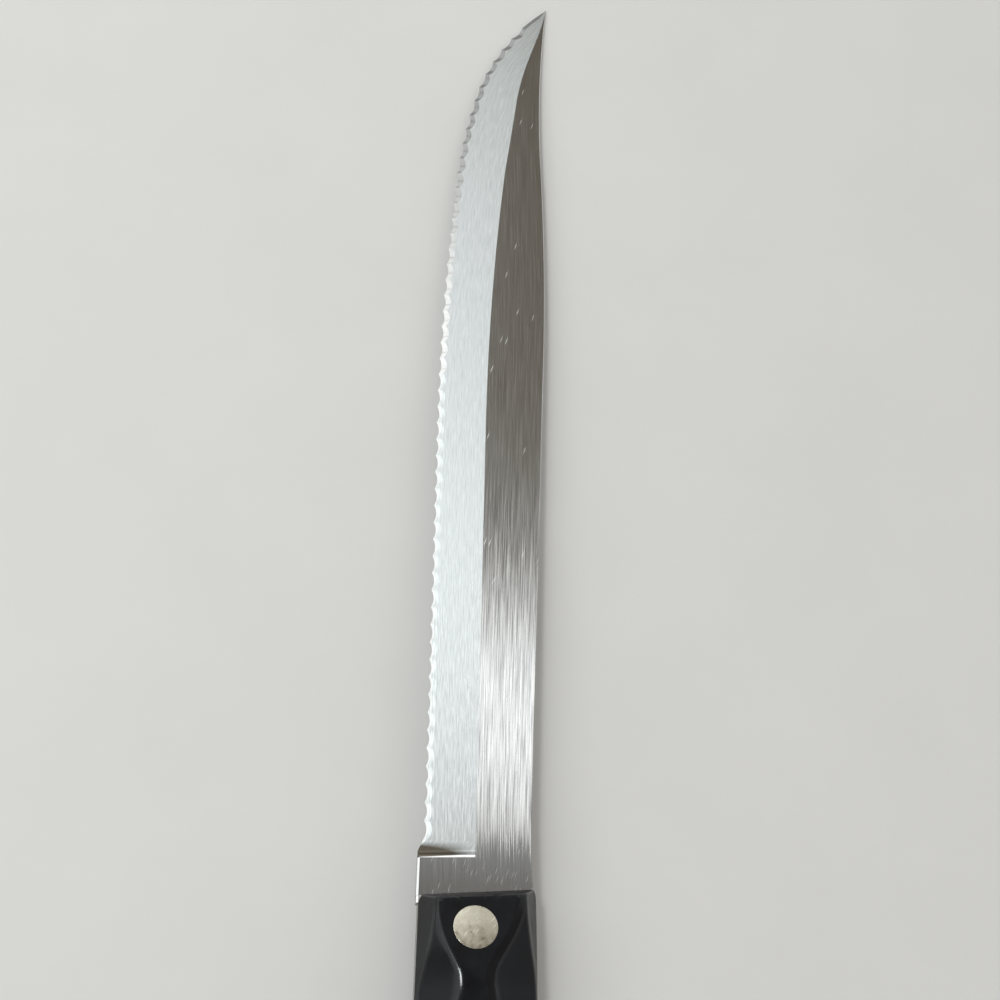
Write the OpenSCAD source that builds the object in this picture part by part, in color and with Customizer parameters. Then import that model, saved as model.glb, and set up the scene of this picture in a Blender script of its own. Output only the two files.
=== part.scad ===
// Serrated carving knife: a full-tang blade between two riveted handle scales.
// The knife lies on its side: +Y runs to the tip, +X to the spine and +Z out of the blade's upper face.
// The origin is in the middle of the blade's thickness and width, where the blade leaves the handle.

/* [Blade] */
// Length from the middle of the handle's front end to the tip
blade_l = 226.9; // [200:0.1:250]
// Thickness of the blade at the spine
blade_t = 2; // [1.6:0.1:2.6]
// How far each face of the tang is ground below the blade's, which leaves a shoulder
tang_relief = 0.03; // [0.02:0.01:0.1]
// Gap between that shoulder and the front end of the scales
shoulder_gap = 0.05; // [0.02:0.01:0.1]
// Width of the blade where it leaves the handle
root_w = 25; // [23:0.5:27]
// Length of the plain stretch between the handle and the ground bevel
ricasso_l = 8.7; // [6:0.1:12]
// How far the spine dips below its height at the handle
spine_dip = 0.85; // [0.4:0.05:1.5]
// Length over which the spine dips
spine_dip_l = 25.4; // [15:0.1:40]
// Drop of the tip below the straight spine
tip_drop = 1.7; // [1.2:0.1:2.4]
// Radius of the spine's downward curve
spine_fall_r = 727; // [600:1:850]
// Angle through which the spine curves down
spine_fall_turn = 4.15; // [3.6:0.05:4.6]
// Radius of the hollow that lifts the spine to the tip
spine_clip_r = 300; // [250:1:360]
// Distance from the tip over which both faces are thinned
thin_l = 44.5; // [35:0.5:60]
// Thickness that the thinning would leave at the tip
tip_t = 0.9; // [0.8:0.05:1.5]

/* [Edge] */
// Width of the ground bevel, from the edge to the grind line
bevel_w = 11.1; // [8:0.1:14]
// Thickness left at the edge before the serrations are ground
edge_t = 0.3; // [0.25:0.05:0.5]
// Angle of the straight edge to the spine
edge_angle = 0.6; // [0:0.05:1]
// How far the edge lies inside the ricasso's lower side where the belly starts
edge_inset = 0.15; // [0:0.05:0.5]
// Radius of the belly's first, nearly straight arc
belly_r = 756; // [600:1:900]
// Angle of the belly's first arc
belly_turn = 5; // [4:0.1:6]
// Radius of the belly's second arc
swell_r = 140; // [110:1:180]
// Angle of the belly's second arc
swell_turn = 9.4; // [7:0.1:12]
// Radius of the arc that sweeps up to the tip
sweep_r = 53; // [46:0.5:60]
// Radius of the grinding wheel where the bevel ends at the ricasso
plunge_r = 1.2; // [1:0.1:2]
// Angle of the bevel's end to a square cut
plunge_slant = 4.6; // [0:0.1:8]
// Length of the slanted step from the ricasso to the first tooth
heel_l = 2.9; // [2:0.1:5]

/* [Serrations] */
// Distance from tooth to tooth along the edge
tooth_pitch = 4.17; // [3:0.01:6]
// Depth of a scallop below the tooth tips
tooth_depth = 0.55; // [0.3:0.05:0.9]
// Angle between a scallop's floor and the blade's middle plane
scallop_tilt = 22; // [15:1:35]
// Plain length of edge left at the tip
tip_plain = 7; // [4:0.5:20]

/* [Handle] */
// Length of the handle
handle_l = 124; // [110:1:140]
// Thickness over both scales
handle_t = 17; // [14:0.5:20]
// How far the ricasso's lower side stands out below the handle
heel_drop = 0.5; // [0:0.1:1.5]
// How far the ricasso's lower side reaches behind the handle's front end
heel_back = 3.1; // [2.5:0.1:6]
// Angle of the handle's front end to a square cut
front_slant = 7; // [0:0.1:12]
// Corner radius of the front end
front_r = 2; // [1:0.1:3]
// How far the back of the handle rises above the blade's root
back_rise = 2; // [1:0.1:4]
// Radius of the handle's back
back_r = 1100; // [800:10:1500]
// Distance from the front end to the narrowest place of the underside's curve
under_l = 14; // [10:1:30]
// Radius of the underside, which flares to the butt
under_r = 2200; // [1800:10:3000]
// Radius of the rounded butt
butt_r = 16; // [15:0.5:22]
// How far the sloping side walls lean in from the tang to the side panel
wall_inset = 3.1; // [2:0.1:4.5]
// Height of the upright rim between the tang and the sloping walls
rim_h = 0.5; // [0.3:0.1:1]

/* [Grip] */
// Width left between the two flank scoops, at the height of the side panel
ridge_w = 5.4; // [4:0.1:8]
// Height of the scale that the flank scoops leave at the handle's back
scoop_rim = 0.35; // [0.2:0.05:1.5]
// Radius of the humps over which the scoops run out at their two ends
hump_r = 50; // [40:1:60]
// Height of the humps above the scoops' floor
hump_h = 3.5; // [3:0.1:4]
// Distance from the front end to the start of the scoops' full depth
scoop_front = 19.7; // [18:0.1:28]
// Distance from the butt to the end of the scoops' full depth
scoop_rear = 25; // [22:0.5:32]
// Depth of the saddle between the front and rear side panels
saddle_depth = 1.6; // [0.8:0.1:2.2]
// Radius of the saddle at its two ends
saddle_r = 120; // [80:1:160]
// Distance from the handle's front end to the saddle
saddle_front = 19.6; // [17:0.1:26]
// Distance from the butt to the saddle
saddle_rear = 24; // [20:0.5:30]

/* [Rivets] */
// Diameter of the rivet heads
head_d = 9.5; // [8:0.1:10.5]
// Thickness of the rivet heads
head_t = 2; // [1.5:0.1:2.5]
// Outer diameter of the tubular half
tube_d = 6.3; // [5:0.1:7]
// Diameter of the solid half's shank
post_d = 4; // [3:0.1:4.5]
// Gap all round between the rivets and the holes that hold them
rivet_gap = 0.05; // [0.02:0.01:0.1]
// Gap between the end of a tube or post and the other half's head
rivet_end_gap = 0.6; // [0.3:0.1:1]
// Place of the rivets across the handle, from the middle of the blade's root
rivet_x = -0.5; // [-1.5:0.1:1.5]
// Distance from the front end to the front rivet
rivet_front = 10.1; // [9:0.1:13]
// Distance from the butt to the rear rivet
rivet_rear = 14; // [12:0.5:17]

/* [Hidden] */

steel_colour = [0.78, 0.78, 0.76];
resin_colour = [0.06, 0.06, 0.07];
rivet_colour = [0.80, 0.77, 0.66];

// Facets to a full turn, on small rounds and on long, nearly flat arcs
$fn = 72;
long_arc_fn = 720;
// Amount by which a cutting shape runs past the piece that it cuts
past = 3;
// Angle over which a cut along a long arc runs to either side of its middle
arc_reach = 6;
// Angle by which the cut round the butt runs past a half turn at each end
butt_reach = 10;

// Spine, from the handle to the tip: a dip, a line, a fall and a hollow clip
spine_x = root_w / 2 - spine_dip;
dip_r = (spine_dip_l * spine_dip_l + spine_dip * spine_dip) / (2 * spine_dip);
fall_drop = spine_fall_r * (1 - cos(spine_fall_turn));
clip_turn = acos(cos(spine_fall_turn) - (fall_drop - tip_drop) / spine_clip_r);
fall_l = spine_fall_r * sin(spine_fall_turn);
clip_l = spine_clip_r * (sin(spine_fall_turn) + sin(clip_turn));
fall_y = blade_l - fall_l - clip_l;
clip_y = fall_y + fall_l;
clip_centre = [
    spine_x - fall_drop + spine_clip_r * cos(spine_fall_turn),
    clip_y + spine_clip_r * sin(spine_fall_turn)
];
// Distance between a circle's axis and the point of it at a height h above the axis
function leg(r, h) = sqrt(r * r - h * h);
function spine_at(y) =
    y < spine_dip_l ? spine_x + dip_r - leg(dip_r, y - spine_dip_l)
    : y < fall_y ? spine_x
    : y < clip_y ? spine_x - spine_fall_r + leg(spine_fall_r, y - fall_y)
    : clip_centre.x - leg(spine_clip_r, y - clip_centre.y);

// Edge, from the heel to the tip: a line, then three arcs that each start where the last one ends.
// Headings are measured from +Y towards +X.
belly_heading = -edge_angle;
swell_heading = belly_heading + belly_turn;
sweep_heading = swell_heading + swell_turn;
function arc_step(r, a, b) = r * [cos(a) - cos(b), sin(b) - sin(a)];
belly_x = -root_w / 2 + edge_inset;
belly_step = arc_step(belly_r, belly_heading, swell_heading);
swell_step = arc_step(swell_r, swell_heading, sweep_heading);
sweep_x = belly_x + belly_step.x + swell_step.x;
tip_x = spine_x - tip_drop;
tip_heading = acos(cos(sweep_heading) - (tip_x - sweep_x) / sweep_r);
sweep_step = arc_step(sweep_r, sweep_heading, tip_heading);
belly_y = blade_l - belly_step.y - swell_step.y - sweep_step.y;
edge_y = ricasso_l + heel_l;
belly_start = [belly_x, belly_y];
swell_start = belly_start + belly_step;
sweep_start = swell_start + swell_step;

// The edge line at a height y, without the heel
function on_arc_at(start, r, heading, y) =
    start.x + r * cos(heading) - leg(r, y - start.y + r * sin(heading));
function edge_line(y) =
    y < belly_y ? belly_x + tan(edge_angle) * (belly_y - y)
    : y < swell_start.y ? on_arc_at(belly_start, belly_r, belly_heading, y)
    : y < sweep_start.y ? on_arc_at(swell_start, swell_r, swell_heading, y)
    : on_arc_at(sweep_start, sweep_r, sweep_heading, y);
edge_start = [edge_line(edge_y), edge_y];
// Lengths of the edge's four stretches
line_l = (belly_y - edge_y) / cos(edge_angle);
function arc_l(r, turn) = r * turn * PI / 180;
belly_l = arc_l(belly_r, belly_turn);
swell_l = arc_l(swell_r, swell_turn);
sweep_l = arc_l(sweep_r, tip_heading - sweep_heading);
edge_l = line_l + belly_l + swell_l + sweep_l;

// Place and heading at a distance s along the edge: [x, y, heading]
function on_arc(start, r, heading, s) =
    let (b = heading + s / r * 180 / PI, p = start + arc_step(r, heading, b)) [p.x, p.y, b];
function on_edge(s) =
    s < line_l
        ? [edge_start.x - s * sin(edge_angle), edge_start.y + s * cos(edge_angle), belly_heading]
    : s < line_l + belly_l ? on_arc(belly_start, belly_r, belly_heading, s - line_l)
    : s < line_l + belly_l + swell_l
        ? on_arc(swell_start, swell_r, swell_heading, s - line_l - belly_l)
    : on_arc(sweep_start, sweep_r, sweep_heading, s - line_l - belly_l - swell_l);

// Bevel: its angle is the same all along, so it narrows where the faces are thinned towards the tip
bevel_slope = (blade_t - edge_t) / 2 / bevel_w;
thin_y = blade_l - thin_l;
function bevel_at(y) =
    bevel_w - (y < thin_y ? 0 : (blade_t - tip_t) / 2 / bevel_slope * pow((y - thin_y) / thin_l, 2));
// Least width of the flat beside the spine, and how short of the tip's point the steel ends
least_flat = 0.15;
tip_blunt = 0.25;

// Scallops are ground from the upper face only. Each meets its neighbours on the edge line.
teeth = floor((edge_l - tip_plain) / tooth_pitch);
cuts_per_tooth = 4;
function scallop(v) = tooth_depth * (1 - pow(2 * v - 1, 2));
// Distance from the edge line at which a facet that starts below, at a distance low, meets the bevel
function facet(low) =
    (edge_t + low * (tan(scallop_tilt) + bevel_slope)) / (tan(scallop_tilt) - bevel_slope);

// Stations of the blade's cross-sections, from the handle to the tip:
// [x, y, heading, half thickness at the lower side, lower start, upper start]
heel_x = -root_w / 2;
heel_half_t = max(edge_t / 6, edge_t / 2 - (edge_start.x - heel_x) * bevel_slope);
plunge_floor = asin(1 - (blade_t / 2 - heel_half_t) / plunge_r);
root_stations = [
    [heel_x, heel_x * tan(front_slant) + shoulder_gap, -front_slant, blade_t / 2, 0, 0],
    [heel_x, ricasso_l / 3, -(front_slant + plunge_slant) / 2, blade_t / 2, 0, 0]
];
plunge_stations = [
    for (i = [0 : 6])
        let (a = plunge_floor + (90 - plunge_floor) * i / 6)
        [heel_x, ricasso_l - plunge_r * cos(a), -plunge_slant,
            heel_half_t + plunge_r * (1 - sin(a)), 0, 0]
];
tooth_stations = [
    for (i = [0 : teeth * cuts_per_tooth])
        let (at = on_edge(i * tooth_pitch / cuts_per_tooth),
            low = scallop(i % cuts_per_tooth / cuts_per_tooth))
        [at.x, at.y, at[2], edge_t / 2, low, facet(low)]
];
tip_l = edge_l - teeth * tooth_pitch - tip_blunt;
tip_stations = [
    for (i = [1 : 5])
        let (at = on_edge(teeth * tooth_pitch + tip_l * i / 5))
        [at.x, at.y, at[2], edge_t / 2, 0, facet(0)]
];
stations = concat(root_stations, plunge_stations, tooth_stations, tip_stations);

// Handle
tang_t = blade_t - 2 * tang_relief;
scale_t = (handle_t - tang_t) / 2;
panel_z = handle_t / 2;
under_x = -root_w / 2 + heel_drop;
back_x = root_w / 2 + back_rise;
back_y = -handle_l / 2 + 3;
butt_y = -handle_l + butt_r;
butt_x = -0.6;
rivet_middle = (rivet_front + handle_l - rivet_rear) / 2;
rivet_ys = [-rivet_front, -rivet_middle, -handle_l + rivet_rear];
saddle_z = panel_z - saddle_depth;
saddle_run = leg(saddle_r, saddle_r - saddle_depth);
rivet_reach = [panel_z, saddle_z, panel_z];
ridge_x = 0.3;
flank_slope = atan((scale_t - scoop_rim) / (back_x - ridge_x - ridge_w / 2));

// Distance from a station to the spine, square to the edge, found by repeated closer guesses
function to_spine(at, d = root_w, tries = 5) =
    tries == 0 ? d
    : to_spine(at, (spine_at(at.y - d * sin(at[2])) - at.x) / cos(at[2]), tries - 1);
// The point of a station's cross-section at a distance d from the lower side
function inward(at, d, z) = [at.x + d * cos(at[2]), at.y - d * sin(at[2]), z];
// One cross-section: upper facet, grind line and spine, then spine, grind line and edge below
function section(at) =
    let (
        half_t = at[3], low = at[4], spine = to_spine(at), high = min(at[5], spine / 3),
        over = edge_line(at.y) - at.x,
        bevel = min(bevel_at(at.y), spine - over - least_flat),
        grind = over + bevel,
        t = edge_t / 2 + bevel * bevel_slope,
        slope = (t - half_t) / grind
    )
    [
        inward(at, high, half_t + high * slope), inward(at, grind, t), inward(at, spine, t),
        inward(at, spine, -t), inward(at, grind, -t), inward(at, low, -half_t - low * slope)
    ];

// The ground blade, lofted through its cross-sections
module ground_blade() {
    sections = [for (at = stations) section(at)];
    n = len(sections[0]);
    last = len(sections) - 1;
    polyhedron(
        points = [for (points = sections) each points],
        faces = concat(
            [[for (j = [0 : n - 1]) j]],
            [for (i = [0 : last - 1], j = [0 : n - 1])
                let (a = i * n + j, b = i * n + (j + 1) % n)
                each [[a, a + n, b + n], [a, b + n, b]]],
            [[for (j = [n - 1 : -1 : 0]) last * n + j]]
        )
    );
}

// The front end: a slanted line with two rounded corners. The rest of this shape lies outside the handle.
module front_end() {
    sides = [under_x, back_x - back_r + leg(back_r, back_y)];
    centres = [for (x = sides + [front_r, -front_r]) [x, x * tan(front_slant) - front_r / cos(front_slant)]];
    turns = [for (i = [0 : 6]) i / 6];
    square_to_front = 90 + front_slant;
    polygon(concat(
        [[sides[0] - handle_l / 5, -2 * handle_l]],
        [for (i = turns) let (a = 180 + (square_to_front - 180) * i) centres[0] + front_r * [cos(a), sin(a)]],
        [for (i = turns) let (a = square_to_front * (1 - i)) centres[1] + front_r * [cos(a), sin(a)]],
        [[sides[1] + handle_l / 5, -2 * handle_l]]
    ));
}

// Outline of the tang and of both scales
module handle_outline() {
    difference() {
        intersection() {
            front_end();
            translate([back_x - back_r, back_y]) circle(back_r, $fn = long_arc_fn);
            union() {
                translate([butt_x, butt_y]) circle(butt_r);
                translate([-2 * root_w, butt_y]) square([4 * root_w, handle_l + root_w]);
            }
        }
        translate([under_x - under_r, -under_l]) circle(under_r, $fn = long_arc_fn);
    }
}

// The tang's end inside the ricasso, which shows only below the handle's front corner
module tang_tongue() {
    front_y = ricasso_l / 2;
    polygon([
        [heel_x + tang_relief, -heel_back], [heel_x + tang_relief, front_y],
        [spine_at(front_y) - tang_relief, front_y], [spine_at(-heel_back) - tang_relief, -heel_back]
    ]);
}

module rivet_holes(d) {
    for (y = rivet_ys) translate([rivet_x, y, -panel_z - past])
        cylinder(d = d + 2 * rivet_gap, h = handle_t + 2 * past);
}

module blade() {
    color(steel_colour) difference() {
        union() {
            ground_blade();
            linear_extrude(tang_t, center = true) {
                handle_outline();
                tang_tongue();
            }
        }
        rivet_holes(tube_d);
    }
}

// Section of what the sloping walls leave out, with x running outwards from the outline
module wall_section() {
    lean = wall_inset / (scale_t - rim_h);
    low = -past;
    high = scale_t + past;
    polygon([
        [lean * (rim_h - low), low], [4 * past, low], [4 * past, high], [lean * (rim_h - high), high]
    ]);
}

// What the sloping wall of the front end, and that of the round butt, leave out
module front_wall() {
    translate([0, 0, tang_t / 2]) rotate(front_slant) translate([2 * root_w, 0]) rotate([90, 0, -90])
        linear_extrude(4 * root_w) mirror([1, 0]) wall_section();
}

module butt_wall() {
    translate([butt_x, butt_y, tang_t / 2]) rotate(180 - butt_reach)
        rotate_extrude(angle = 180 + 2 * butt_reach) translate([butt_r, 0]) wall_section();
}

// What the sloping walls of the underside and of the back leave out, each swept over a few degrees of its arc
module under_wall() {
    translate([under_x - under_r, -under_l, tang_t / 2]) rotate(-arc_reach)
        rotate_extrude(angle = 2 * arc_reach, $fn = long_arc_fn)
            translate([under_r, 0]) mirror([1, 0]) wall_section();
}

module back_wall() {
    translate([back_x - back_r, back_y, tang_t / 2]) rotate(-arc_reach)
        rotate_extrude(angle = 2 * arc_reach, $fn = long_arc_fn)
            translate([back_r, 0]) wall_section();
}

// A wheel's path: full depth between two ends, with a round run-out at each, seen from the side
module wheel_path(r, y_front, y_rear) {
    translate([y_front, r]) circle(r, $fn = long_arc_fn);
    translate([y_rear, r]) circle(r, $fn = long_arc_fn);
    translate([y_rear, 0]) square([y_front - y_rear, r]);
}

// The path of a scoop: a level floor that climbs over a hump at each end, seen from the side
module scoop_path(y_front, y_rear) {
    run = leg(hump_r, hump_r - hump_h);
    difference() {
        translate([y_rear - run, 0]) square([y_front - y_rear + 2 * run, root_w]);
        for (y = [y_front + run, y_rear - run])
            translate([y, hump_h - hump_r]) circle(hump_r, $fn = long_arc_fn);
    }
}

// The scoop along one flank: side is 1 at the spine and -1 at the edge
module flank_scoop(side) {
    front_y = -scoop_front + side * tan(front_slant) * root_w / 2;
    translate([ridge_x + side * ridge_w / 2, 0, panel_z]) rotate([0, side * flank_slope, 0])
        translate([-2 * root_w, 0, 0]) rotate([90, 0, 90])
            linear_extrude(4 * root_w) scoop_path(front_y, -handle_l + scoop_rear);
}

// The saddle across the grip, between the front and rear panels
module saddle() {
    translate([-2 * root_w, 0, saddle_z]) rotate([90, 0, 90])
        linear_extrude(4 * root_w)
            wheel_path(saddle_r, -saddle_front - saddle_run, -handle_l + saddle_rear + saddle_run);
}

module head_seats() {
    for (i = [0 : 2]) translate([rivet_x, rivet_ys[i], rivet_reach[i] - head_t])
        cylinder(d = head_d + 2 * rivet_gap, h = head_t + past);
}

module scale_body() {
    difference() {
        translate([0, 0, tang_t / 2]) linear_extrude(scale_t) handle_outline();
        front_wall();
        under_wall();
        back_wall();
        butt_wall();
        flank_scoop(1);
        flank_scoop(-1);
        saddle();
        rivet_holes(tube_d);
        head_seats();
    }
}

module upper_scale() {
    color(resin_colour) scale_body();
}

module lower_scale() {
    color(resin_colour) mirror([0, 0, 1]) scale_body();
}

// Tubular half of rivet i, set from above: reach is the height of its head over the middle plane
module rivet_tube(i) {
    reach = rivet_reach[i];
    color(rivet_colour) translate([rivet_x, rivet_ys[i], 0]) difference() {
        union() {
            translate([0, 0, reach - head_t]) cylinder(d = head_d, h = head_t);
            translate([0, 0, -reach + head_t + rivet_end_gap])
                cylinder(d = tube_d, h = 2 * (reach - head_t) - rivet_end_gap);
        }
        translate([0, 0, -reach])
            cylinder(d = post_d + 2 * rivet_gap, h = 2 * reach - head_t);
    }
}

// Solid half of rivet i, pressed into the tube from below
module rivet_post(i) {
    reach = rivet_reach[i];
    color(rivet_colour) translate([rivet_x, rivet_ys[i], -reach]) {
        cylinder(d = head_d, h = head_t);
        cylinder(d = post_d, h = 2 * reach - head_t - rivet_end_gap);
    }
}

module front_rivet_tube() { rivet_tube(0); }
module front_rivet_post() { rivet_post(0); }
module middle_rivet_tube() { rivet_tube(1); }
module middle_rivet_post() { rivet_post(1); }
module rear_rivet_tube() { rivet_tube(2); }
module rear_rivet_post() { rivet_post(2); }

blade();
upper_scale();
lower_scale();
front_rivet_tube();
front_rivet_post();
middle_rivet_tube();
middle_rivet_post();
rear_rivet_tube();
rear_rivet_post();
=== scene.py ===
# Looks of the carving knife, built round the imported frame.
# Blender works in metres: +Y to the tip, +X to the spine, +Z out of the scalloped face.
# The settings of the pieces are in millimetres and degrees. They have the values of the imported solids,
# apart from the small forms that a comment calls the scene's own.
import math

import bmesh
import bpy
import numpy as np
from mathutils import Matrix, Vector


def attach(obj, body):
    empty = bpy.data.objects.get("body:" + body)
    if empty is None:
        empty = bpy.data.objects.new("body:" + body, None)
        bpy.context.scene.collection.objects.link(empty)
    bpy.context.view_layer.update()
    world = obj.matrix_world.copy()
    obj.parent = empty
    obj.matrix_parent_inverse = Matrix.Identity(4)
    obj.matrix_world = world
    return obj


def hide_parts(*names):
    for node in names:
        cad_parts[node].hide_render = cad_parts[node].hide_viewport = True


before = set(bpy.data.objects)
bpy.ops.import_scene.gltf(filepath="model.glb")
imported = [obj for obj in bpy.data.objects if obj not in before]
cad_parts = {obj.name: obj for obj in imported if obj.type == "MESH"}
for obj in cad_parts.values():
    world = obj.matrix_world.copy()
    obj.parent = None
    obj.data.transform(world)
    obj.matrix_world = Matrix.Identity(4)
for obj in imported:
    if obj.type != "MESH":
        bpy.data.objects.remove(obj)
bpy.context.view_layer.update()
scene = bpy.context.scene
scene.view_settings.view_transform = "Standard"
mm = 0.001
tiny = 1e-9
print("frame loaded:", len(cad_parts), "nodes")


# Camera, solved from the blade's outline in the photograph

cameraSet = dict(
    place=(-0.08119, -0.23134, 0.6539),
    right=(0.98946, 0.02978, 0.14171),
    up=(-0.08914, 0.89652, 0.43395),
    back=(-0.11412, -0.44201, 0.88972),
    lens=117.72,
    sensor=36.0,
    clipStart=0.01,
)


def makeCamera(c):
    data = bpy.data.cameras.new("camera")
    data.lens = c["lens"]
    data.sensor_width = c["sensor"]
    data.clip_start = c["clipStart"]
    camera = bpy.data.objects.new("camera", data)
    scene.collection.objects.link(camera)
    columns = np.array([c["right"], c["up"], c["back"], c["place"]]).T
    camera.matrix_world = Matrix(columns.tolist() + [[0, 0, 0, 1]])
    scene.camera = camera


makeCamera(cameraSet)
print("camera placed")


# Arrays and meshes

def leg(r, h):
    # distance between a circle's axis and the point of it at a height h: the root of r squared less h squared
    return np.sqrt(np.maximum(r * r - h * h, 0.0))


def softMin(a, b, k):
    # the smaller of two heights, rounded where they differ by less than k, and the first one's share in it
    m = np.clip(0.5 + 0.5 * (b - a) / k, 0.0, 1.0)
    return b + (a - b) * m - k * m * (1 - m), m


def gridFaces(rows, cols, closed=False):
    # quads between neighbouring rows and columns; a closed grid also joins its last column to the first
    i, j = np.meshgrid(np.arange(rows - 1), np.arange(cols if closed else cols - 1), indexing="ij")
    k = (j + 1) % cols
    return np.stack([i * cols + j, i * cols + k, (i + 1) * cols + k, (i + 1) * cols + j], -1).reshape(-1, 4)


def ringFaces(loopA, loopB):
    # quads between two closed loops of the same length
    return np.stack([loopA, np.roll(loopA, -1), np.roll(loopB, -1), loopB], -1)


def rimLoop(cols, i0, i1, j0, j1):
    # indices round the block of a grid from row i0 to i1 and column j0 to j1
    i, j = np.arange(i0, i1), np.arange(j0, j1)
    return np.concatenate([i0 * cols + j, i * cols + j1, i1 * cols + j[::-1] + 1, (i[::-1] + 1) * cols + j0])


def dropUnused(verts, faces):
    # faces is a list of index arrays; points that none of them uses are left out and the indices follow
    used, packed = np.unique(np.concatenate([f.ravel() for f in faces]), return_inverse=True)
    sizes = np.cumsum([0] + [f.size for f in faces])
    faces = [packed[a:b].reshape(f.shape) for a, b, f in zip(sizes, sizes[1:], faces)]
    return verts[used], faces


def buildMesh(name, verts, faces, sharpAngle):
    verts, faces = dropUnused(verts, faces)
    mesh = bpy.data.meshes.new(name)
    mesh.from_pydata((verts * mm).tolist(), [], sum([f.tolist() for f in faces], []))
    shell = bmesh.new()
    shell.from_mesh(mesh)
    bmesh.ops.recalc_face_normals(shell, faces=shell.faces[:])
    shell.to_mesh(mesh)
    shell.free()
    mesh.polygons.foreach_set("use_smooth", np.ones(len(mesh.polygons), bool))
    mesh.set_sharp_from_angle(angle=math.radians(sharpAngle))
    return mesh


def addPiece(name, mesh, node, materials):
    piece = bpy.data.objects.new(name, mesh)
    scene.collection.objects.link(piece)
    for material in materials:
        mesh.materials.append(material)
    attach(piece, "root")
    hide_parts(node)
    return piece


# Nodes of the materials

def setSockets(tree, node, sockets):
    # another node's socket is linked, anything else becomes the input's own value
    for key, value in sockets.items():
        if isinstance(value, bpy.types.NodeSocket):
            tree.links.new(value, node.inputs[key])
        else:
            node.inputs[key].default_value = value


def addNode(tree, kind, sockets=None, **values):
    node = tree.nodes.new(kind)
    for key, value in values.items():
        setattr(node, key, value)
    setSockets(tree, node, sockets or {})
    return node


def mathOf(tree, operation, *values):
    return addNode(tree, "ShaderNodeMath", dict(enumerate(values)), operation=operation).outputs[0]


def addValues(tree, a, b, weight):
    # the first value plus the second times its weight
    return mathOf(tree, "MULTIPLY_ADD", b, weight, a)


def vectorOf(tree, operation, a, b):
    return addNode(tree, "ShaderNodeVectorMath", {0: a, 1: b}, operation=operation).outputs[0]


def mapFrom(tree, value, start, end, kind="LINEAR"):
    # nothing up to the start, one from the end on; inputs 1 and 2 are the range that is mapped
    sockets = {0: value, 1: start, 2: end}
    return addNode(tree, "ShaderNodeMapRange", sockets, interpolation_type=kind).outputs[0]


def mapTo(tree, value, low, high):
    # inputs 3 and 4 are the range that nothing to one is mapped to
    return addNode(tree, "ShaderNodeMapRange", {0: value, 3: low, 4: high}).outputs[0]


def mixColour(tree, factor, *colours):
    # each of the two colours is a socket, or red, green and blue; 6, 7 and 2 are the node's colour sockets
    a, b = [c if isinstance(c, bpy.types.NodeSocket) else (*c, 1.0) for c in colours]
    return addNode(tree, "ShaderNodeMix", {0: factor, 6: a, 7: b}, data_type="RGBA").outputs[2]


def mixValue(tree, factor, a, b):
    return addNode(tree, "ShaderNodeMix", {0: factor, 2: a, 3: b}).outputs[0]


def placeGroup(tree, group, **sockets):
    return addNode(tree, "ShaderNodeGroup", sockets, node_tree=group).outputs[0]


def addBump(tree, shader, height, distance):
    bump = addNode(tree, "ShaderNodeBump", {"Height": height, "Strength": 1.0, "Distance": distance})
    tree.links.new(bump.outputs[0], shader.inputs["Normal"])


def newMaterial(name):
    material = bpy.data.materials.new(name)
    material.use_nodes = True
    tree = material.node_tree
    shader = next(n for n in tree.nodes if n.type == "BSDF_PRINCIPLED")
    return material, tree, shader


# Material groups

groupSet = dict(
    # noise, and the part of its range that is spread from 0 to 1
    brushNoise=dict(Scale=1.0, Detail=3.0, Roughness=0.6),
    smudgeNoise=dict(Detail=4.0, Roughness=0.55),
    noiseSpan=(0.3, 0.7),
    # distances from a cell's point, in cells, at which a scratch starts and is full
    strokeSpan=(0.16, 0.06),
)


def newGroup(name, inputs, output):
    # an input without a value is a vector, the others and the output are numbers
    tree = bpy.data.node_groups.new(name, "ShaderNodeTree")
    for key, value in inputs.items():
        kind = "NodeSocketVector" if value is None else "NodeSocketFloat"
        socket = tree.interface.new_socket(name=key, in_out="INPUT", socket_type=kind)
        if value is not None:
            socket.default_value = value
    tree.interface.new_socket(name=output, in_out="OUTPUT", socket_type="NodeSocketFloat")
    return tree, tree.nodes.new("NodeGroupInput").outputs, tree.nodes.new("NodeGroupOutput")


def makeBrushMarks(g):
    # noise drawn out along the first coordinate: Along and Across are the marks to a metre each way
    tree, given, out = newGroup("brushMarks", dict(Vector=None, Along=40.0, Across=3000.0, Seed=0.0), "Mark")
    scale = addNode(tree, "ShaderNodeCombineXYZ", {0: given["Along"], 1: given["Across"]}).outputs[0]
    shift = addNode(tree, "ShaderNodeCombineXYZ", {2: given["Seed"]}).outputs[0]
    place = vectorOf(tree, "ADD", vectorOf(tree, "MULTIPLY", given["Vector"], scale), shift)
    noise = addNode(tree, "ShaderNodeTexNoise", {"Vector": place, **g["brushNoise"]}).outputs[0]
    tree.links.new(mapFrom(tree, noise, *g["noiseSpan"]), out.inputs["Mark"])
    return tree


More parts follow.
